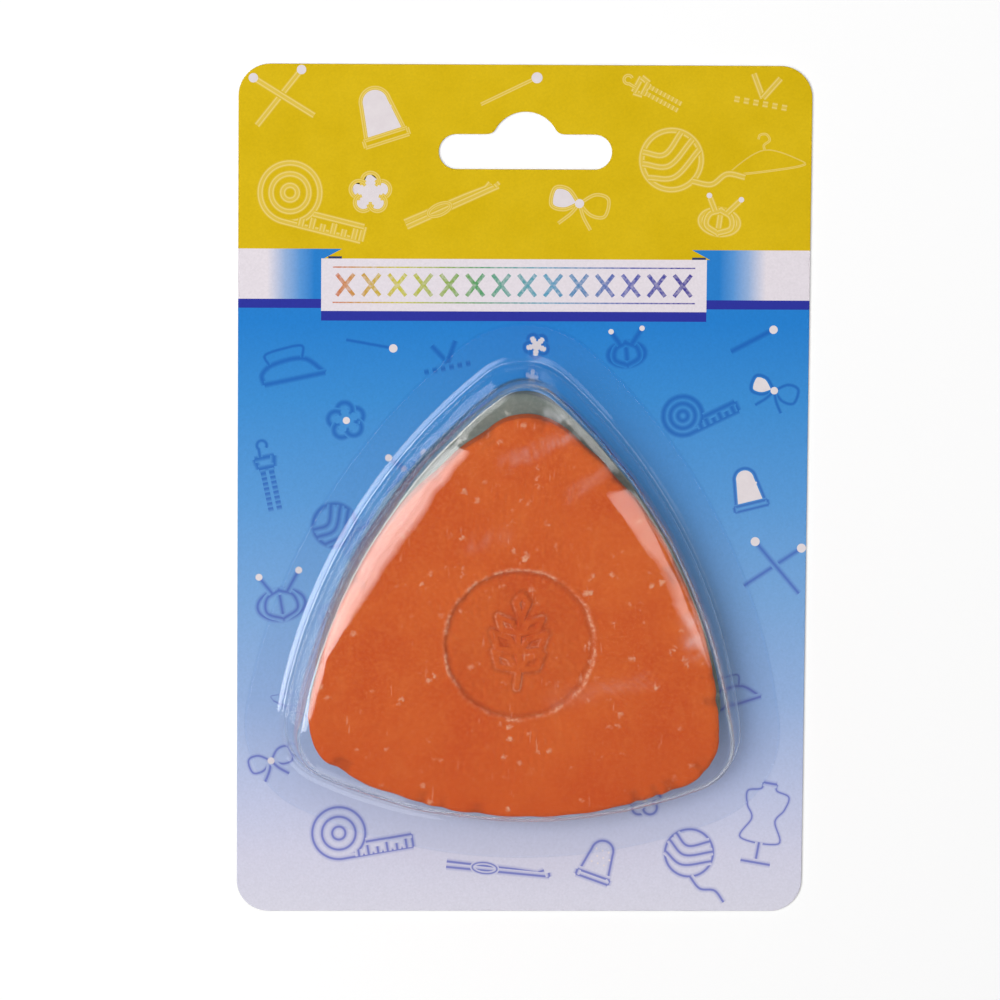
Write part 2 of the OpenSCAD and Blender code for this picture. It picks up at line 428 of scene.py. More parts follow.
# Each motif with its place, turn and size, and whether its body is a white shape
layout = [(tape_measure, -41, 52.5, -14, 1.0, 0), (thimble, -25.5, 66, 18, 0.95, 1),
          (crossed_needles, -42.5, 69, 10, 0.72, 0), (crochet_hook, -13, 50.5, 24, 0.95, 0),
          (flower, -27, 52.5, 0, 0.9, 1), (bow, 9.5, 50.8, -12, 0.8, 1),
          (yarn_ball, 25.5, 58.5, 12, 1.0, 0), (hanger, 42, 58.6, 8, 0.72, 0),
          (ball_pin, -3, 70.4, 12, 0.8, 1), (zip_pull, 22.5, 70, 62, 0.62, 0),
          (dart, 41.5, 70.2, -10, 0.7, 0), (pincushion, 34, 47.8, -8, 0.62, 0),
          (iron, -40.5, 22, 12, 0.85, 0), (ball_pin, -27, 26, -24, 0.62, 1),
          (flower, -31, 12.5, 10, 0.8, 0), (zip_pull, -44.5, 2, 12, 0.72, 0),
          (yarn_ball, -33, -6, 40, 0.72, 0), (pincushion, -42.3, -20, 10, 0.78, 0),
          (hanger, -37, -38, -24, 0.78, 0), (bow, -44, -48, 20, 0.62, 0),
          (tape_measure, -32, -61, 10, 0.9, 0), (crochet_hook, -4, -67.5, -6, 1.0, 0),
          (thimble, 14, -66, -20, 0.72, 0), (yarn_ball, 30, -64.5, -30, 0.82, 0),
          (dress_form, 43.2, -58, -10, 0.95, 0), (flower, 22, -55, 0, 0.72, 0),
          (iron, 37, -36, 18, 0.78, 0), (crossed_needles, 44.5, -13.5, -8, 0.7, 0),
          (thimble, 39.5, 0.5, 14, 0.72, 1), (tape_measure, 28, 13.5, 26, 0.66, 0),
          (bow, 44, 18, -18, 0.66, 1), (pincushion, 18, 24.5, 6, 0.6, 0),
          (ball_pin, 40, 26.8, 14, 0.62, 0), (dart, -13.5, 23.5, 12, 0.62, 0),
          (flower, 2.2, 25.8, 30, 0.55, 1), (crossed_needles, -20, 3, 6, 0.55, 0)]


def unbent(line, sharpest=50):
    """A line in parts that turn gently, cut wherever it turns by more than an angle."""
    step = np.diff(line, axis=0)
    line = np.concatenate([line[:1], line[1:][np.linalg.norm(step, axis=1) > same_place]])
    step = np.diff(line, axis=0)
    way = np.degrees(np.arctan2(step[:, 1], step[:, 0]))
    turn = np.abs((np.diff(way) + 180) % 360 - 180)
    cuts = np.flatnonzero(turn > sharpest) + 1
    return [line[a:b + 1] for a, b in zip([0, *cuts], [*cuts, len(line) - 1])]


def ribbon(points, half, z):
    """A flat band along a line. Its edges lie to either side of each point at right angles to the
    mean of the two steps there, further out where the line turns, so the band keeps its width. It
    is narrower on a line whose tightest turn, a step over its change of heading, is within half."""
    step = np.diff(points, axis=0)
    length = np.linalg.norm(step, axis=1)
    step /= length[:, None]
    if len(step) > 1:
        swing = np.arccos(np.clip((step[1:] * step[:-1]).sum(1), -1, 1))
        tightest = np.minimum(length[1:], length[:-1]) / np.maximum(swing, 1e-6)
        half = min(half, 0.85 * tightest.min())
    closed = np.linalg.norm(points[0] - points[-1]) < same_place
    before = np.concatenate([step[-1:] if closed else step[:1], step])
    after = np.concatenate([step, step[:1] if closed else step[-1:]])
    mean = before + after
    mean /= np.linalg.norm(mean, axis=1)[:, None]
    reach = half / (mean * after).sum(1)
    aside = np.stack([-mean[:, 1], mean[:, 0]], -1) * reach[:, None]
    edges = np.stack([points - aside, points + aside], 1)
    return np.concatenate([edges, np.full((len(points), 2, 1), z)], -1).reshape(-1, 3)


def ink_film(name, bands, blobs):
    """One flat mesh of bands, two points wide, and of filled outlines. The number 'across' runs
    from -1 to 1 over each band, and is 0 on the outlines."""
    points, faces, across = [], [], []
    total = 0
    for band in bands:
        start = total + 2 * np.arange(len(band) // 2 - 1)[:, None]
        faces += (start + [0, 2, 3, 1]).tolist()
        points.append(band)
        across.append(np.tile([-1.0, 1.0], len(band) // 2))
        total += len(band)
    for blob in blobs:
        ring = np.arange(len(blob))[::1 if np.cross(blob[0] - blob[2], blob[1] - blob[2])[2] > 0 else -1]
        faces.append((total + ring).tolist())
        points.append(blob)
        across.append(np.zeros(len(blob)))
        total += len(blob)
    mesh = bpy.data.meshes.new(name)
    mesh.from_pydata((np.concatenate(points) * MM).tolist(), [], faces)
    mesh.attributes.new("across", "FLOAT", "POINT").data.foreach_set("value", np.concatenate(across))
    film = bpy.data.objects.new(name, mesh)
    bpy.context.scene.collection.objects.link(film)
    return film


def line_ink():
    """Ink that shows strongest along the band and fades to the print's own colour at its edges."""
    made, tree, shader, place = finish_of("motif_line_ink")
    front, y, _ = print_ground(tree, place)
    over = maths(tree, "ABSOLUTE", node(tree, "Attribute", output=2, attribute_name="across"))

    def cover(stops):
        return ramp(tree, over, [(at, (share, share, share, 1.0)) for at, share in stops])

    double = cover([(0.0, 0.3), (0.28, 0.3), (0.42, 0.85), (0.58, 0.85), (0.74, 0.22), (1.0, 0.0)])
    soft = cover([(0.0, 0.72), (0.45, 0.5), (1.0, 0.0)])
    thin = cover([(0.0, 0.85), (0.2, 0.8), (0.36, 0.36), (1.0, 0.0)])
    to_foot = scaled(tree, y, 5.0, -35.0)
    on_yellow = maths(tree, "GREATER_THAN", y, yellow_foot)
    share = mixed(tree, on_yellow, mixed(tree, to_foot, soft, thin), double)
    shade = mixed(tree, to_foot, ink(26, 88, 178), ink(96, 106, 190))
    shade = mixed(tree, on_yellow, shade, ink(240, 214, 128))
    varnish(tree, shader, mixed(tree, node(tree, "RGBToBW", {0: share}), front, shade), place)
    return made


def white_ink():
    """White ink, a little patchy."""
    made, tree, shader, place = finish_of("motif_white_ink")
    patchy = node(tree, "TexNoise", {"Vector": place, "Scale": 900.0, "Detail": 3.0})
    varnish(tree, shader, mixed(tree, patchy, ink(222, 212, 216), ink(234, 226, 228)), place)
    return made


def turned(points, degrees):
    """Points turned about the upright axis."""
    out = points.copy()
    side, up = heading(degrees)
    out[..., 0] = points[..., 0] * side - points[..., 1] * up
    out[..., 1] = points[..., 0] * up + points[..., 1] * side
    return out


def placed(points, x, y, degrees, size):
    """A motif's points at its size, turned and moved to its place on the card."""
    return turned(points * size, degrees) + [x, y]


def motif_films(thinner=0.6):
    """Every motif at its place, as bands and as outlines to fill. Each band of a motif lies a hair
    above the one before, so that none share a plane. A white motif's lines are thinner, and its
    body is filled where it has one, which a pin's two points haven't."""
    bands, blobs = [], []
    for draw, *place, white in layout:
        lines, dots = draw()
        level = card_thick + ink_lift
        if white and len(lines[0]) > 2:
            shut = np.linalg.norm(lines[0][0] - lines[0][-1]) < same_place
            body = placed(lines[0][:-1 if shut else None], *place)
            blobs.append(np.column_stack([body, np.full(len(body), level)]))
        for part in [part for line in lines for part in unbent(line)]:
            level += ink_step
            bands.append(ribbon(placed(part, *place), line_half * (thinner if white else 1), level))
        for dot in dots:
            level += ink_step
            spot = placed(dot[:-1], *place)
            blobs.append(np.column_stack([spot, np.full(len(spot), level)]))
    return bands, blobs


bands, blobs = motif_films()
dress(ink_film("printed_motif_lines", bands, []), line_ink(), "card")
dress(ink_film("printed_motif_shapes", [], blobs), white_ink(), "card")

# Stitch row: cross stitches in one line on the pale banner, between two thin rails. They are ink
# like the motifs, printed a hair above the board, and their hue changes along the row.
stitch_count, stitch_inset = 14, 4.2
stitch_half_width, stitch_half_height, stitch_half_thread = 1.5, 1.9, 0.34
rail_inset, rail_offset, rail_half = 2.0, 3.1, 0.12


def stitch_ink():
    """The stitches run through the rainbow from orange on the left to violet, and are worn."""
    made, tree, shader, place = finish_of("stitch_row_ink")
    along = scaled(tree, node(tree, "SeparateXYZ", {0: place}), banner_left * MM, banner_right * MM)
    hue = ramp(tree, along, [(0.04, ink(206, 122, 84)), (0.2, ink(204, 196, 60)), (0.4, ink(92, 160, 100)),
                             (0.58, ink(96, 160, 190)), (0.78, ink(92, 100, 176)), (0.96, ink(70, 60, 150))])
    worn = node(tree, "TexNoise", {"Vector": place, "Scale": 1500.0, "Detail": 3.0})
    varnish(tree, shader, mixed(tree, scaled(tree, worn, 0.4, 0.75, 0.0, 0.5), hue, paper_white), place)
    return made


def stitch_row():
    """Bands for the stitches' two legs, the second a hair above the first, and for the rails."""
    middle, level = (banner_top + banner_foot) / 2, card_thick + ink_lift
    row = []
    for x in np.linspace(banner_left + stitch_inset, banner_right - stitch_inset, stitch_count):
        for k, way in enumerate((1, -1)):
            leg = path((-stitch_half_width, -way * stitch_half_height),
                       (stitch_half_width, way * stitch_half_height))
            row.append(ribbon(leg + [x, middle], stitch_half_thread, level + ink_step * (k + 1)))
    for y in (middle - rail_offset, middle + rail_offset):
        rail = path((banner_left + rail_inset, y), (banner_right - rail_inset, y))
        row.append(ribbon(rail, rail_half, level))
    return row


dress(ink_film("printed_stitch_row", stitch_row(), []), stitch_ink(), "card")

# Chalks: powder pressed dry in a mould, so they are dense, matt and brittle. Their rims are worn
# and chipped, and loose dust lies on them. A round mark is pressed into the upper face.
chalk_side, chalk_corner, chalk_bulge, chalk_thick = 53.6, 9.1, 6.1, 6.8
lower_turn, upper_turn = -1.0, -2.5
mark_reach, mark_depth = 13.0, 0.4
rim_round, rim_drop = 1.3, 0.91
underside_lift = 0.04


def triangle_walk(reaches, bulges, radius, columns):
    """A triangle with bulging sides, walked anticlockwise at a steady distance round its skeleton:
    three points joined by arcs. Each column is a point of the skeleton and the heading outwards
    there, at an even spacing along the walk."""
    corners = np.array(reaches)[:, None] * heading(90 + 120 * np.arange(3))
    chord = np.roll(corners, -1, 0) - corners
    half = np.linalg.norm(chord, axis=1) / 2
    arc_reach = (half**2 + np.array(bulges) ** 2) / (2 * np.array(bulges))
    facing = np.degrees(np.arctan2(-chord[:, 0], chord[:, 1]))
    spread = np.degrees(np.arcsin(half / arc_reach))
    arc_middle = corners + chord / 2 - (arc_reach - bulges)[:, None] * heading(facing)
    centres = np.stack([corners, arc_middle], 1).reshape(-1, 2)
    inner = np.stack([np.zeros(3), arc_reach], 1).ravel()
    start = np.stack([np.roll(facing + spread, 1), facing - spread], 1).ravel()
    stop = np.stack([facing - spread, facing + spread], 1).ravel()
    swing = (stop - start) % 360
    length = (inner + radius) * np.radians(swing)
    ends = np.cumsum(length)
    walk = np.arange(columns) / columns * ends[-1]
    part = np.searchsorted(ends, walk, side="right")
    share = (walk - (ends - length)[part]) / length[part]
    outward = heading(start[part] + swing[part] * share)
    return centres[part] + inner[part, None] * outward, outward


def chalk_walk(columns):
    """The skeleton and headings of a chalk, evenly spaced along its unworn outline."""
    return triangle_walk([chalk_side / math.sqrt(3)] * 3, [chalk_bulge] * 3, chalk_corner, columns)


def bell(away, width):
    """A bell-shaped curve: e to the minus square of the distance over the width."""
    return np.exp(-((away / width) ** 2))


def ripple(points, wavelength, seed, waves=16):
    """Smooth noise, mostly between -1 and 1: the sum of plane waves in random directions, each
    about one wavelength long, over the root of their number."""
    chance = np.random.default_rng(seed)
    ways = chance.normal(size=(waves, points.shape[-1]))
    ways /= np.linalg.norm(ways, axis=1)[:, None]
    ways *= 2 * np.pi / (wavelength * chance.uniform(0.7, 1.5, waves))[:, None]
    return np.cos(points @ ways.T + chance.uniform(0, 2 * np.pi, waves)).sum(-1) / math.sqrt(waves)


def soft_step(value, low, high):
    """Rises from 0 at low to 1 at high along a smooth cubic."""
    share = np.clip((value - low) / (high - low), 0, 1)
    return share * share * (3 - 2 * share)


def to_strokes(points, strokes):
    """Distance from each point to the nearest of some straight strokes: the distance to the point
    of the stroke that its foot falls on, held between the stroke's ends."""
    nearest = np.full(points.shape[:-1], np.inf)
    for start, finish in strokes:
        start, along = np.array(start), np.subtract(finish, start)
        foot = np.clip(((points - start) @ along) / (along @ along), 0, 1)
        nearest = np.minimum(nearest, np.linalg.norm(points - start - foot[..., None] * along, axis=-1))
    return nearest


# A leafy sprig, pressed in low relief: a stem and pairs of leaves, as straight strokes
sprig = [((0, -7.6), (0.3, -3.5)), ((0.3, -3.5), (-0.2, 1)), ((-0.2, 1), (0.2, 4.6)),
         ((0.2, 4.6), (-0.9, 7.4)), ((0.2, 4.6), (1.3, 7.4)), ((-0.9, 7.4), (0.2, 8.6)),
         ((1.3, 7.4), (0.2, 8.6))]
for leaf_y, leaf_size in ((-4.6, 1.0), (-1.4, 1.1), (1.9, 0.9)):
    for side in (-1, 1):
        tips = [(0, 0), (1.6, 2.2), (4.2, 3.1), (3.4, 0.6), (0, 0)]
        tips = [(side * leaf_size * px, leaf_y + leaf_size * py) for px, py in tips]
        sprig += list(zip(tips[:-1], tips[1:]))


def chalk_rings(bites, wander, columns):
    """A chalk's rings of points, from the pole above to the pole below, and how far bites sink
    each point. Rings about the mark spread into the outline, the rims shrink the outline along an
    ellipse, and the side and the underside join them."""
    bones, outward = chalk_walk(columns)
    flat_edge = bones + (chalk_corner - rim_round - 0.4) * outward
    spokes = heading(np.degrees(np.arctan2(flat_edge[:, 1], flat_edge[:, 0])))
    ring_reach = mark_reach + 1.6
    mark_rings, face_rings, rim_rings, foot_rings = 62, 40, 9, 7
    rows, wear = [], []

    def ring(plan, level, sunk=0.0):
        rows.append(np.column_stack([plan, np.full(columns, level)]))
        wear.append(np.full(columns, sunk))

    def rim_ring(inset, level):
        ring(bones + (chalk_corner - inset)[:, None] * outward, level)

    for reach in np.linspace(0, ring_reach, mark_rings):
        ring(reach * spokes, chalk_thick)
    for share in np.linspace(0, 1, face_rings)[1:]:
        ring(ring_reach * spokes * (1 - share) + flat_edge * share, chalk_thick,
             bites * soft_step(share, 0.93, 1.0) * 0.6)
    for turn in np.linspace(90, 0, rim_rings):
        out, up = heading(turn)
        rim_ring(rim_round * (1 - out) + wander * out + bites * (0.45 + 0.55 * up) * out,
                 chalk_thick - rim_drop * (1 - up) - bites * 0.5 * up)
    for share in (0.33, 0.66):
        rim_ring(wander + bites * (0.45 - 0.25 * share),
                 (chalk_thick - rim_drop) * (1 - share) + rim_drop * share)
    for turn in np.linspace(0, 90, foot_rings):
        out, up = heading(turn)
        rim_ring(rim_round * (1 - out) + wander * out + bites * 0.2 * out,
                 rim_drop * (1 - up) + underside_lift)
    for share in (0.75, 0.5, 0.25, 0.0):
        ring(flat_edge * share, 0.0)
    return np.array(rows), np.array(wear)


def chalk_points(seed, chip, columns=560, chips=40):
    """A pressed chalk. Its upper face has the mark's recess with a soft lip, the sprig in relief
    and plane-wave noise. Chips are bell-shaped bites along the rim, and one deeper chip is given
    as its place along the rim, depth and width. Dust gathers beside edges, and 'painted_hollow_shade'
    says how deep in painted shade a point lies: beside the relief, in the mark and in the chips."""
    chance = np.random.default_rng(seed)
    bones, outward = chalk_walk(columns)
    walk = np.arange(columns) / columns
    wander = 0.1 + 0.1 * ripple(bones + chalk_corner * outward, 9, seed + 1)
    places = chance.random(chips)
    widths = chance.uniform(0.0015, 0.009, chips)
    depths = chance.uniform(0.05, 0.5, chips)
    bites = np.zeros(columns)
    for at, deep, wide in [*zip(places, depths, widths), chip]:
        bites += deep * bell((walk - at + 0.5) % 1 - 0.5, wide)
    points, wear = chalk_rings(bites, wander, columns)
    plan = points[..., :2]
    from_middle = np.linalg.norm(plan, axis=-1)
    top = soft_step(points[..., 2], chalk_thick - 1.0, chalk_thick - 0.2)
    edge_at = mark_reach + 0.12 * ripple(plan, 4, seed + 5)
    past_edge = from_middle - edge_at
    recess = mark_depth * (1 - soft_step(from_middle, edge_at - 0.35, edge_at + 0.2))
    lip = 0.1 * bell(past_edge - 0.5, 0.45) - 0.12 * bell(past_edge + 0.55, 0.3)
    worn = 0.75 + 0.25 * ripple(plan, 3.5, seed + 2)
    to_sprig = to_strokes(plan, sprig)
    relief = 0.36 * worn * (1 - soft_step(to_sprig, 0.35, 0.7)) - 0.1 * bell(to_sprig - 0.85, 0.25)
    rough = 0.035 * ripple(plan, 1.1, seed + 3) + 0.05 * ripple(plan, 6, seed + 4) - 0.1
    points[..., 2] += top * (rough - recess + lip + relief) - wear
    patches = soft_step(ripple(plan, 5, seed + 6), -0.5, 0.6)
    dust = 1.25 * top * (0.15 + 0.85 * patches) * bell(past_edge - 0.2, 0.3)
    dust += top * 0.6 * patches * bell(to_sprig - 0.62, 0.16)
    pressed_in = top * np.maximum(bell(to_sprig - 0.9, 0.3), bell(past_edge + 0.5, 0.35))
    # Painted shade: the chips, the ground beside the sprig and the mark's edge, and a little the whole mark,
    # are darkened in colour as if in shade
    chip_shade = 0.5 * soft_step(bites, 0.1, 0.5) * soft_step(from_middle, 18, 24)
    chip_shade = chip_shade * soft_step(chalk_thick - points[..., 2], 0.12, 0.5)
    painted_hollow_shade = np.maximum(0.42 * pressed_in + 0.12 * (from_middle < mark_reach), chip_shade)
    return points, dust, painted_hollow_shade


def chalk_piece(name, seed, chip, degrees, node, material):
    """A chalk turned and moved so that its unworn outline's corner, with its lowest point's height,
    lies on that of the frame's node. The grid's dust and its painted shade in hollows and chips go
    along as numbers."""
    points, dust, painted_hollow_shade = chalk_points(seed, chip)
    low = np.array(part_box(node)[0]) / MM
    corner = turned(chalk_outline, degrees).min(0)
    points = turned(points, degrees) + [*(low[:2] - corner), low[2] - points[..., 2].min()]
    piece = surface(name, points, marks={"dust": dust, "painted_hollow_shade": painted_hollow_shade})
    dress(piece, material, node.split("_")[0])
    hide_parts(node)


def pressed_chalk(name, base, deep, pale, dust, seed):
    """Matt pressed powder: broad clouds of tone, fine grain, sparse crumbs of dust and short
    scratches from rubbing against the sheet. Painted shade darkens it towards the card's foot and,
    in dark brown, where the mesh marks hollows and chips."""
    made, tree, shader, place = finish_of(name)
    moved = node(tree, "Mapping", {"Vector": place, "Location": (0.1 * seed, 0.07 * seed, 0)})
    clouds = node(tree, "TexNoise", {"Vector": moved, "Scale": 60.0, "Detail": 5.0, "Roughness": 0.6})
    grain = node(tree, "TexNoise", {"Vector": moved, "Scale": 1500.0, "Detail": 5.0, "Roughness": 0.75})
    tone = mixed(tree, scaled(tree, clouds, 0.3, 0.7), deep, base)
    tone = mixed(tree, scaled(tree, grain, 0.46, 0.78, 0.0, 0.65), tone, pale)
    shaken = mixed(tree, 0.0016, moved, node(tree, "TexNoise", {"Vector": moved, "Scale": 1400.0}, 1))
    crumbs = node(tree, "TexVoronoi", {"Vector": shaken, "Scale": 420.0, "Randomness": 1.0})
    rare = node(tree, "TexNoise", {"Vector": moved, "Scale": 210.0, "Detail": 3.0})
    fleck = maths(tree, "MULTIPLY", scaled(tree, crumbs, 0.3, 0.1), scaled(tree, rare, 0.52, 0.66))
    stretched = node(tree, "Mapping", {"Vector": moved, "Rotation": (0, 0, 0.8), "Scale": (1.7, 1, 1)})
    rubbed = node(tree, "TexNoise", {"Vector": stretched, "Scale": 150.0, "Detail": 4.0, "Distortion": 1.4})
    tone = mixed(tree, scaled(tree, rubbed, 0.55, 0.8, 0.0, 0.35), tone, pale)
    # Painted shade: the chalk darkens towards the card's foot
    to_foot = scaled(tree, node(tree, "SeparateXYZ", {0: place}, 1), -0.03, -0.062, 0.0, 0.6)
    tone = mixed(tree, to_foot, tone, deep)
    for lean, spacing in ((0.9, 130.0), (-0.7, 170.0)):
        lengthwise = node(tree, "Mapping", {"Vector": moved, "Rotation": (0, 0, lean), "Scale": (9, 1.6, 1)})
        scratch = node(tree, "TexNoise", {"Vector": lengthwise, "Scale": spacing, "Detail": 1.0})
        scratch = maths(tree, "MULTIPLY", scaled(tree, scratch, 0.7, 0.76), scaled(tree, rare, 0.5, 0.62))
        tone = mixed(tree, maths(tree, "MULTIPLY", scratch, 0.3), tone, dust)
    # Painted shade: dark brown mixed in where the mesh marks hollows and chips
    painted_hollow_shade = node(tree, "Attribute", output=2, attribute_name="painted_hollow_shade")
    tone = mixed(tree, maths(tree, "MULTIPLY", painted_hollow_shade, 0.75), tone, mixed(tree, 0.55, deep, ink(70, 40, 26)))
    settled = maths(tree, "MULTIPLY", node(tree, "Attribute", output=2, attribute_name="dust"),
                    scaled(tree, grain, 0.42, 0.6, 0.15, 0.8))
    tone = mixed(tree, maths(tree, "MAXIMUM", maths(tree, "MULTIPLY", fleck, 0.75), settled), tone, dust)
    tree.links.new(tone, shader.inputs["Base Color"])
    tree.links.new(scaled(tree, grain, 0.3, 0.7, 0.8, 0.98), shader.inputs["Roughness"])
    shader.inputs["Specular IOR Level"].default_value = 0.2
    height = maths(tree, "ADD", maths(tree, "MULTIPLY", grain, 0.6), maths(tree, "ADD", clouds, fleck))
    bump = node(tree, "Bump", {"Strength": 0.5, "Distance": 0.00018, "Height": height})
    tree.links.new(bump, shader.inputs["Normal"])
    return made


bones, outward = chalk_walk(720)
chalk_outline = bones + chalk_corner * outward

grey_green = pressed_chalk("pressed_grey_green_chalk", ink(134, 143, 132), ink(106, 117, 114),
                           ink(156, 162, 152), ink(196, 200, 190), 1)
chalk_piece("grey_green_chalk", 11, (0.9, 0.4, 0.006), lower_turn, "lower_chalk",
            grey_green)
orange = pressed_chalk("pressed_orange_chalk", ink(221, 99, 28), ink(206, 74, 6),
                       ink(231, 122, 56), ink(241, 180, 144), 2)
chalk_piece("orange_chalk", 23, (0.382, 1.1, 0.007), upper_turn, "upper_chalk",
            orange)

# Clear shell: one sheet of clear plastic, heated and drawn over a mould of the chalk's shape, then
# sealed to the card by its flange. The first sizes are the frame's own, and the drawn ones follow
# the sheet as it came off the mould: a steeper wall, sharper bends and a small ledge at the foot.
sheet_thick, draft = 0.5, 12.0
shell_corner, apex_gap, corner_gap, side_gap = 7.8, 5.0, 2.6, 0.8
roof_fillet, foot_fillet, flange_width = 2.0, 1.0, 5.4
shell_turn = -1.5
drawn_draft, drawn_foot, drawn_roof = 9.3, 0.5, 1.2
ledge_rise, ledge_width, ramp_width, ledge_lower_right = 0.13, 0.15, 0.85, 0.8
seal_gap, edge_thick, edge_taper = 0.04, 0.1, 0.4

# The roof sinks in a margin inside its rim, which is wider towards the apex
sag_slope, sag_places, sag_widths = 0.19, (-12, -3.3, 7.9, 23, 34), (1.3, 2.0, 4.4, 5.6, 5.7)
roof_drop = 0.12

# Painted highlights on the roof: pale streaks and a glint, painted as a white veil along lines about the
# shell's own middle, with widths and strengths
painted_glint_strokes = [((-3.4, 31.5), (8.6, 37.0), 1.1, 0.6), ((8.0, 26.0), (15.4, 32.0), 1.0, 0.45),
          ((3.8, 40.4), (6.0, 39.4), 0.8, 2.2), ((30.2, 4.4), (30.8, 0.0), 1.6, 1.3),
          ((6.4, -10.0), (22.5, -6.0), 1.3, 0.3), ((-9.0, 17.0), (-3.0, 19.0), 1.2, 0.25)]


def shell_skeleton(columns):
    """The skeleton that the frame's shell is carried round: a triangle about the chalks with a
    gap of its own at each corner, and sides that bulge to one gap beside the chalks' sides."""
    root3 = math.sqrt(3)
    side_reach = chalk_side / (2 * root3) + chalk_bulge + chalk_corner
    reaches = chalk_side / root3 + chalk_corner - shell_corner + np.array([apex_gap, corner_gap, corner_gap])
    corners = reaches[:, None] * heading(90 + 120 * np.arange(3))
    after = np.roll(corners, -1, 0)
    chord_reach = np.abs(corners[:, 0] * after[:, 1] - corners[:, 1] * after[:, 0])
    chord_reach /= np.linalg.norm(after - corners, axis=1)
    bulges = side_reach + side_gap - shell_corner - chord_reach
    return triangle_walk(reaches, bulges, shell_corner, columns)


def shell_section(low, high):
    """The sheet's section as distance from the skeleton and height: down the outside from the
    roof's rim to the flange, round the cut edge and back up inside. The two fillets are arcs about
    the same centres inside and outside, so the sheet keeps its thickness. Returns the outside, the
    edge, the inside, the wall's outer reach and the flange's."""
    outside = shell_corner + sheet_thick / math.cos(math.radians(draft))
    flange_top = low + sheet_thick
    ramp_steps, flat_steps = 14, 6

    def wall_line(lean_angle, roof_radius, foot_radius, foot_level):
        """Middles of the two fillets on a wall that leans by an angle. The wall's reach is given at
        the level where the frame's own roof fillet starts."""
        lean, bend = math.tan(math.radians(lean_angle)), math.tan(math.radians((90 - lean_angle) / 2))
        kept_top = high - roof_fillet
        roof_middle = np.array([outside - (high - kept_top) * lean - roof_radius * bend, high - roof_radius])
        foot_middle = np.array([outside + (kept_top - foot_level) * lean + foot_radius * bend,
                                foot_level + foot_radius])
        return roof_middle, foot_middle

    flange_edge = wall_line(draft, roof_fillet, foot_fillet, flange_top)[1][0] + flange_width
    roof_middle, foot_middle = wall_line(drawn_draft, drawn_roof, drawn_foot, flange_top + ledge_rise)

    def skin(inwards):
        """One face: the roof's bend, the wall, the foot's bend, the ledge's ramp and the flange."""
        roof_bend = roof_middle + (drawn_roof - inwards) * heading(np.linspace(90, drawn_draft, 12))
        foot_bend = foot_middle + (drawn_foot + inwards) * heading(180 + np.linspace(drawn_draft, 90, 10))
        wall = roof_bend[-1] + (foot_bend[0] - roof_bend[-1]) * np.linspace(0, 1, 10)[1:-1, None]
        ramp_start = foot_middle[0] + ledge_width
        ramp = ramp_start + ramp_width * np.linspace(-0.1, 1.1, ramp_steps)
        fall = np.clip((ramp - ramp_start) / ramp_width, 0, 1)
        fall = 0.7 * fall + 0.3 * soft_step(fall, 0.0, 1.0)
        level = flange_top - inwards + ledge_rise * (1 - fall)
        flat = np.linspace(ramp[-1] + 0.1, flange_edge - edge_taper - 0.06, flat_steps)
        flat_level = np.full(flat_steps, flange_top - inwards)
        apron = np.column_stack([np.append(ramp, flat), np.append(level, flat_level)])
        return np.concatenate([roof_bend, wall, foot_bend, apron])

    seal = low + seal_gap
    edge = [[flange_edge - edge_taper, flange_top], [flange_edge - edge_taper + 0.05, flange_top - 0.03],
            [flange_edge - 0.07, seal + edge_thick + 0.05], [flange_edge - 0.02, seal + edge_thick],
            [flange_edge, seal + edge_thick * 0.6], [flange_edge - 0.04, seal], [flange_edge - 0.12, seal]]
    return skin(0), np.array(edge), skin(sheet_thick - seal_gap)[::-1], outside, flange_edge


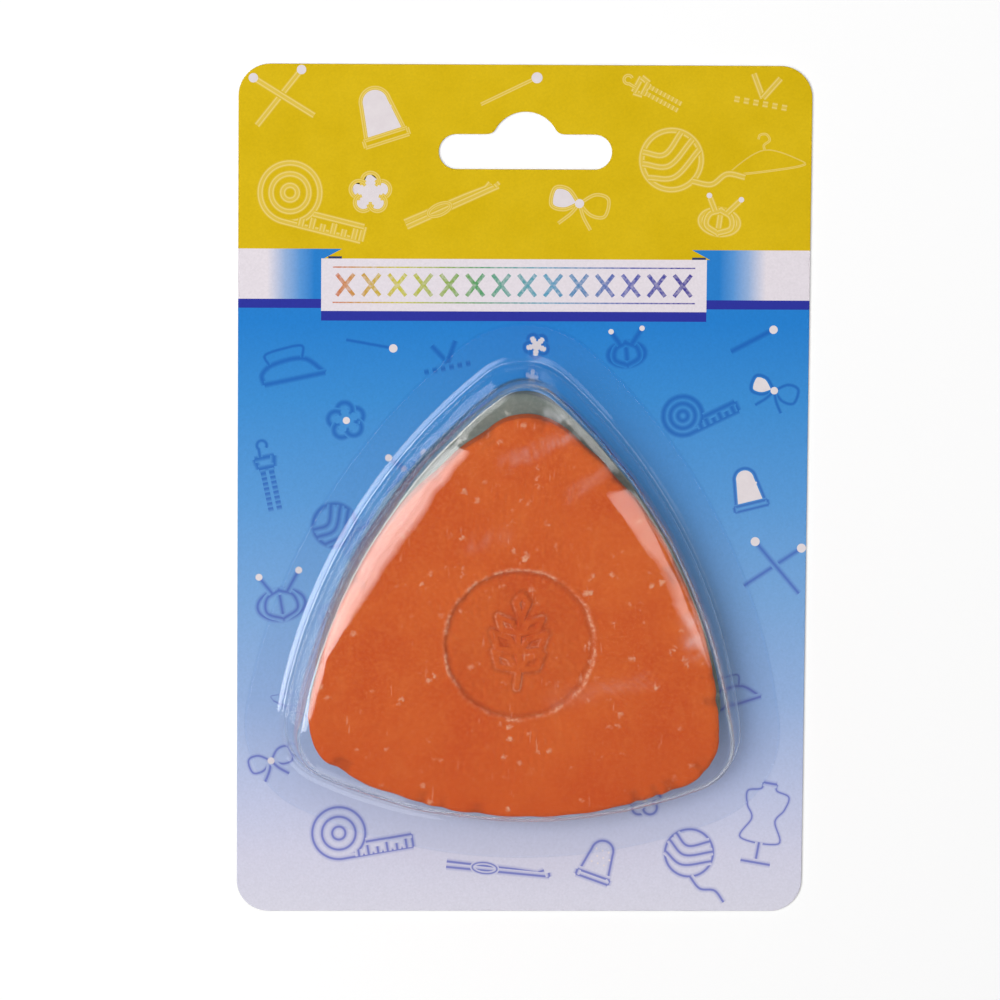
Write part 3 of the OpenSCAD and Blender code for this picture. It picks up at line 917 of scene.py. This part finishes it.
def shell_points(columns=560):
    """The sheet's closed section carried round the shell's skeleton, and closed by discs over the
    roof and under it. The roof sinks in its margin by the square of the way into it, and plane
    waves ripple the roof and flute the wall. For the material, 'sealed' marks the cut edge, the
    flange's underside and partly the roof's bend, and 'painted_glint', a painted highlight, is
    bell-shaped across each of its strokes."""
    low, high = (np.array(corner)[2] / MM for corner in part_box("blister_shell"))
    flange_top, under = low + sheet_thick, sheet_thick - seal_gap
    bones, outward = shell_skeleton(columns)
    outer_skin, edge, inner_skin, outside, flange_edge = shell_section(low, high)
    edge_end = len(outer_skin) + len(edge)
    profile = np.concatenate([outer_skin, edge, inner_skin])
    rim = bones + profile[:, None, :1] * outward
    inset_by = np.where(np.arange(len(profile)) < edge_end, 0, under)
    above = np.clip(profile[:, 1] - flange_top + inset_by, 0, ledge_rise)
    above *= 1 - soft_step(profile[:, 1], low + 2, low + 6)
    right_side = soft_step(outward[:, 0], 0.1, 0.5)
    heights = profile[:, 1, None] - ledge_lower_right * above[:, None] * right_side
    walls = np.concatenate([rim, heights[..., None]], -1)
    roof_rim, ceiling_rim = walls[0, :, :2], walls[-1, :, :2]

    def disc(around, z, shares):
        return np.array([np.column_stack([around * share, np.full(len(around), z)]) for share in shares])

    roof_rows, underside_rows, first_bend, last_bend = 33, 18, 3, 14
    spread = 1 - np.linspace(1, 0, roof_rows + 1)[:-1] ** 1.3
    points = np.concatenate([disc(roof_rim, high, spread), walls,
                             disc(ceiling_rim, high - sheet_thick, spread[::-1])])
    sealed = np.zeros(points.shape[:2])
    sealed[roof_rows + len(outer_skin):roof_rows + edge_end + underside_rows] = 1
    for bend in (slice(roof_rows + first_bend, roof_rows + last_bend),
                 slice(-roof_rows - last_bend, -roof_rows - first_bend)):
        sealed[bend] = 0.7 - 0.4 * right_side
    plan, rim_reach = points[..., :2], np.linalg.norm(roof_rim, axis=-1)
    inset = np.maximum(1 - np.linalg.norm(plan, axis=-1) / rim_reach, 0) * rim_reach
    upper_part = soft_step(points[..., 2], low + 3, high - 1)
    width = np.interp(plan[..., 1], sag_places, sag_widths)
    width *= 1 - 0.8 * soft_step(plan[..., 1] + np.clip(plan[..., 0], 0, 5.5), 32, 37)
    sag = 0.5 * sag_slope * width * np.clip(1 - inset / width, 0, 1) ** 2
    waves = 0.04 * ripple(plan, 24, 5) + 0.01 * ripple(plan, 7, 6)
    points[..., 2] -= upper_part * (sag + roof_drop + waves)
    rim_line = bones + outside * outward
    flutes = 0.03 * ripple(rim_line, 6, 7) + 0.06 * ripple(rim_line, 15, 8)
    fluted = (soft_step(points[..., 2], low + 0.7, low + 1.6) * flutes)[..., None] * outward
    points[roof_rows:-roof_rows, :, :2] += fluted[roof_rows:-roof_rows]
    # Painted highlight: a streaked white veil along each stroke, on the roof only
    streaks = 0.6 + 0.4 * ripple(plan @ np.array([[0.7, 1.6], [0.7, -1.6]]), 4, 9)
    painted_glint = sum(strong * bell(to_strokes(plan, [(start, finish)]), wide)
               for start, finish, wide, strong in painted_glint_strokes)
    painted_glint = np.clip(painted_glint * streaks, 0, 3) * soft_step(points[..., 2], high - 0.9, high - 0.7)
    return points, sealed, painted_glint, bones + flange_edge * outward


def drawn_sheet():
    """Clear sheet: light bends through it and its faces mirror the lamps. Lamps light what lies
    under it, dimmer where the sheet is steep. A steep or sealed part is seen straight through, and
    a painted highlight veils the roof in white along its strokes."""
    made, tree, shader, place = finish_of("clear_drawn_sheet")
    shader.inputs["Base Color"].default_value = (0.99, 0.995, 1.0, 1.0)
    shader.inputs["Transmission Weight"].default_value = 1.0
    shader.inputs["Roughness"].default_value = 0.04
    shader.inputs["IOR"].default_value = 1.5
    orange_peel = node(tree, "TexNoise", {"Vector": place, "Scale": 160.0, "Detail": 3.0})
    draw_lines = node(tree, "TexNoise", {"Vector": place, "Scale": 55.0, "Detail": 2.0, "Distortion": 0.5})
    height = maths(tree, "ADD", maths(tree, "MULTIPLY", orange_peel, 0.35), draw_lines)
    bump = node(tree, "Bump", {"Strength": 0.06, "Distance": 0.0006, "Height": height})
    tree.links.new(bump, shader.inputs["Normal"])
    steep = node(tree, "LayerWeight", {"Blend": 0.5}, 1)
    passed = ramp(tree, steep, [(0.0, (0.99, 0.993, 1.0, 1)), (0.5, (0.95, 0.96, 0.975, 1)),
                                (0.8, (0.8, 0.83, 0.88, 1)), (1.0, (0.42, 0.46, 0.54, 1))])
    clear = node(tree, "BsdfTransparent", {"Color": passed})
    lamp_ray, matt_ray = node(tree, "LightPath", output=1), node(tree, "LightPath", output=2)
    let_through = maths(tree, "MAXIMUM", lamp_ray, matt_ray)
    thin = node(tree, "BsdfTransparent", {"Color": (0.97, 0.985, 1.0, 1)})
    sealed = maths(tree, "MULTIPLY", node(tree, "Attribute", output=2, attribute_name="sealed"), 0.85)
    seen_through = maths(tree, "MAXIMUM", scaled(tree, steep, 0.7, 0.95, 0.0, 0.92), sealed)
    plastic = node(tree, "MixShader", {0: seen_through, 1: shader.outputs[0], 2: thin})
    # Painted highlight: white diffuse mixed in where the mesh marks its strokes
    glint_white = node(tree, "BsdfDiffuse", {"Color": (0.95, 0.96, 1.0, 1)})
    worn = maths(tree, "MULTIPLY", node(tree, "Attribute", output=2, attribute_name="painted_glint"), 0.1)
    with_glints = node(tree, "MixShader", {0: worn, 1: plastic, 2: glint_white})
    both = node(tree, "MixShader", {0: let_through, 1: with_glints, 2: clear})
    tree.links.new(both, tree.nodes["Material Output"].inputs["Surface"])
    return made


shell_grid, shell_sealed, shell_painted_glint, shell_outline = shell_points()
low = np.array(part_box("blister_shell")[0]) / MM
moved = [*(low[:2] - turned(shell_outline, shell_turn).min(0)), 0]
shell = surface("clear_blister_shell", turned(shell_grid, shell_turn) + moved,
                marks={"sealed": shell_sealed, "painted_glint": shell_painted_glint})
dress(shell, drawn_sheet(), "shell")
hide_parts("blister_shell")

# Studio: a white sweep under the pack, soft panels of light above it to the left, the right, the
# foot and the head, and a camera that looks down from a little above the card's head and its left.
floor_half, floor_drop = 3000.0, 0.02
corners = np.array([[-1, -1], [1, -1], [1, 1], [-1, 1]]) * floor_half
floor_points = np.column_stack([corners, np.full(4, -floor_drop)]) * MM
floor_mesh = bpy.data.meshes.new("floor")
floor_mesh.from_pydata(floor_points.tolist(), [], [(0, 1, 2, 3)])
floor = bpy.data.objects.new("floor", floor_mesh)
bpy.context.scene.collection.objects.link(floor)
white, tree, shader, _ = finish_of("white_sweep")
shader.inputs["Base Color"].default_value = (1.0, 1.0, 1.0, 1.0)
shader.inputs["Roughness"].default_value = 0.9
shader.inputs["Emission Color"].default_value = (1, 1, 1, 1)
tree.links.new(maths(tree, "MULTIPLY", node(tree, "LightPath"), 0.045), shader.inputs["Emission Strength"])
floor_mesh.materials.append(white)


def look_from(thing, place, target, roll):
    """Stands a camera at a place, looking at a target with +Y up in its view, then turned about
    its line of sight. Its sides are cross products of the line of sight with +Y."""
    back = Vector(place) - Vector(target)
    back.normalize()
    right = Vector((0, 1, 0)).cross(back).normalized()
    turn = Matrix([right, back.cross(right), back]).transposed().to_4x4()
    thing.matrix_world = Matrix.Translation(place) @ turn @ Matrix.Rotation(roll, 4, "Z")


def soft_lamp(name, left, right, foot, head, height, radiance):
    """A level panel of light over the pack, between two sides and two ends, that shines straight
    down. A panel's power is its radiance times its area times pi."""
    data = bpy.data.lights.new(name, "AREA")
    data.shape = "RECTANGLE"
    data.size, data.size_y = right - left, head - foot
    data.energy = radiance * data.size * data.size_y * math.pi
    lamp = bpy.data.objects.new(name, data)
    bpy.context.scene.collection.objects.link(lamp)
    lamp.location = ((left + right) / 2, (foot + head) / 2, height)


# The left panels dim towards the pack, the right ones towards the pack and the foot. Their sides,
# ends and heights are in metres.
left_run, right_run = (-0.224, 0.56, 1.5), (-0.1, 0.9, 1.3)
soft_lamp("left_softbox_outer", -1.35, -0.95, *left_run, 3.9)
soft_lamp("left_softbox", -0.95, -0.42, *left_run, 8.0)
soft_lamp("left_softbox_middle", -0.42, -0.28, *left_run, 5.9)
soft_lamp("left_softbox_inner", -0.28, -0.17, *left_run, 4.4)
for k in range(3):
    soft_lamp(f"left_softbox_edge_{k}", -0.17 + 0.03 * k, -0.14 + 0.03 * k, *left_run, 3.2 - 1.05 * k)
soft_lamp("foot_softbox", -1.15, -0.05, -1.2, -0.55, 1.3, 2.0)
soft_lamp("right_softbox", 0.17, 0.46, *right_run, 2.5)
for k in range(3):
    soft_lamp(f"right_softbox_edge_{k}", 0.14 - 0.03 * k, 0.17 - 0.03 * k, *right_run, 1.9 - 0.6 * k)
    soft_lamp(f"right_softbox_foot_{k}", 0.17, 0.46, -0.12 - 0.02 * k, -0.1 - 0.02 * k, 1.3, 1.9 - 0.6 * k)
soft_lamp("head_softbox", -0.5, 0.5, 1.05, 1.6, 1.3, 1.5)
world = bpy.data.worlds.new("studio")
bpy.context.scene.world = world
world.use_nodes = True
world.node_tree.nodes["Background"].inputs["Color"].default_value = (1, 1, 1, 1)
world.node_tree.nodes["Background"].inputs["Strength"].default_value = 0.19

# The picture's width in pixels, millimetres for a pixel, and where the card's middle lies in it
picture, pixel = 1000, 0.1756
card_pixel = np.array([522.5, 491.0])
film, camera_reach = 36, 1.2
tilt, aside, roll = math.radians(8.2), math.radians(-2.1), math.radians(0.45)
camera_data = bpy.data.cameras.new("camera")
camera_data.sensor_width = film
camera_data.lens = film * camera_reach / (picture * pixel * MM)
camera_data.clip_start, camera_data.clip_end = 0.01, 20
camera = bpy.data.objects.new("camera", camera_data)
bpy.context.scene.collection.objects.link(camera)
target = np.append((picture / 2 - card_pixel) * [1, -1] * pixel * MM, 0)
stand = target + camera_reach * np.array([math.sin(aside), math.sin(tilt), math.cos(tilt) * math.cos(aside)])
look_from(camera, stand.tolist(), target.tolist(), roll)
bpy.context.scene.camera = camera
bpy.context.scene.view_settings.view_transform = "Standard"
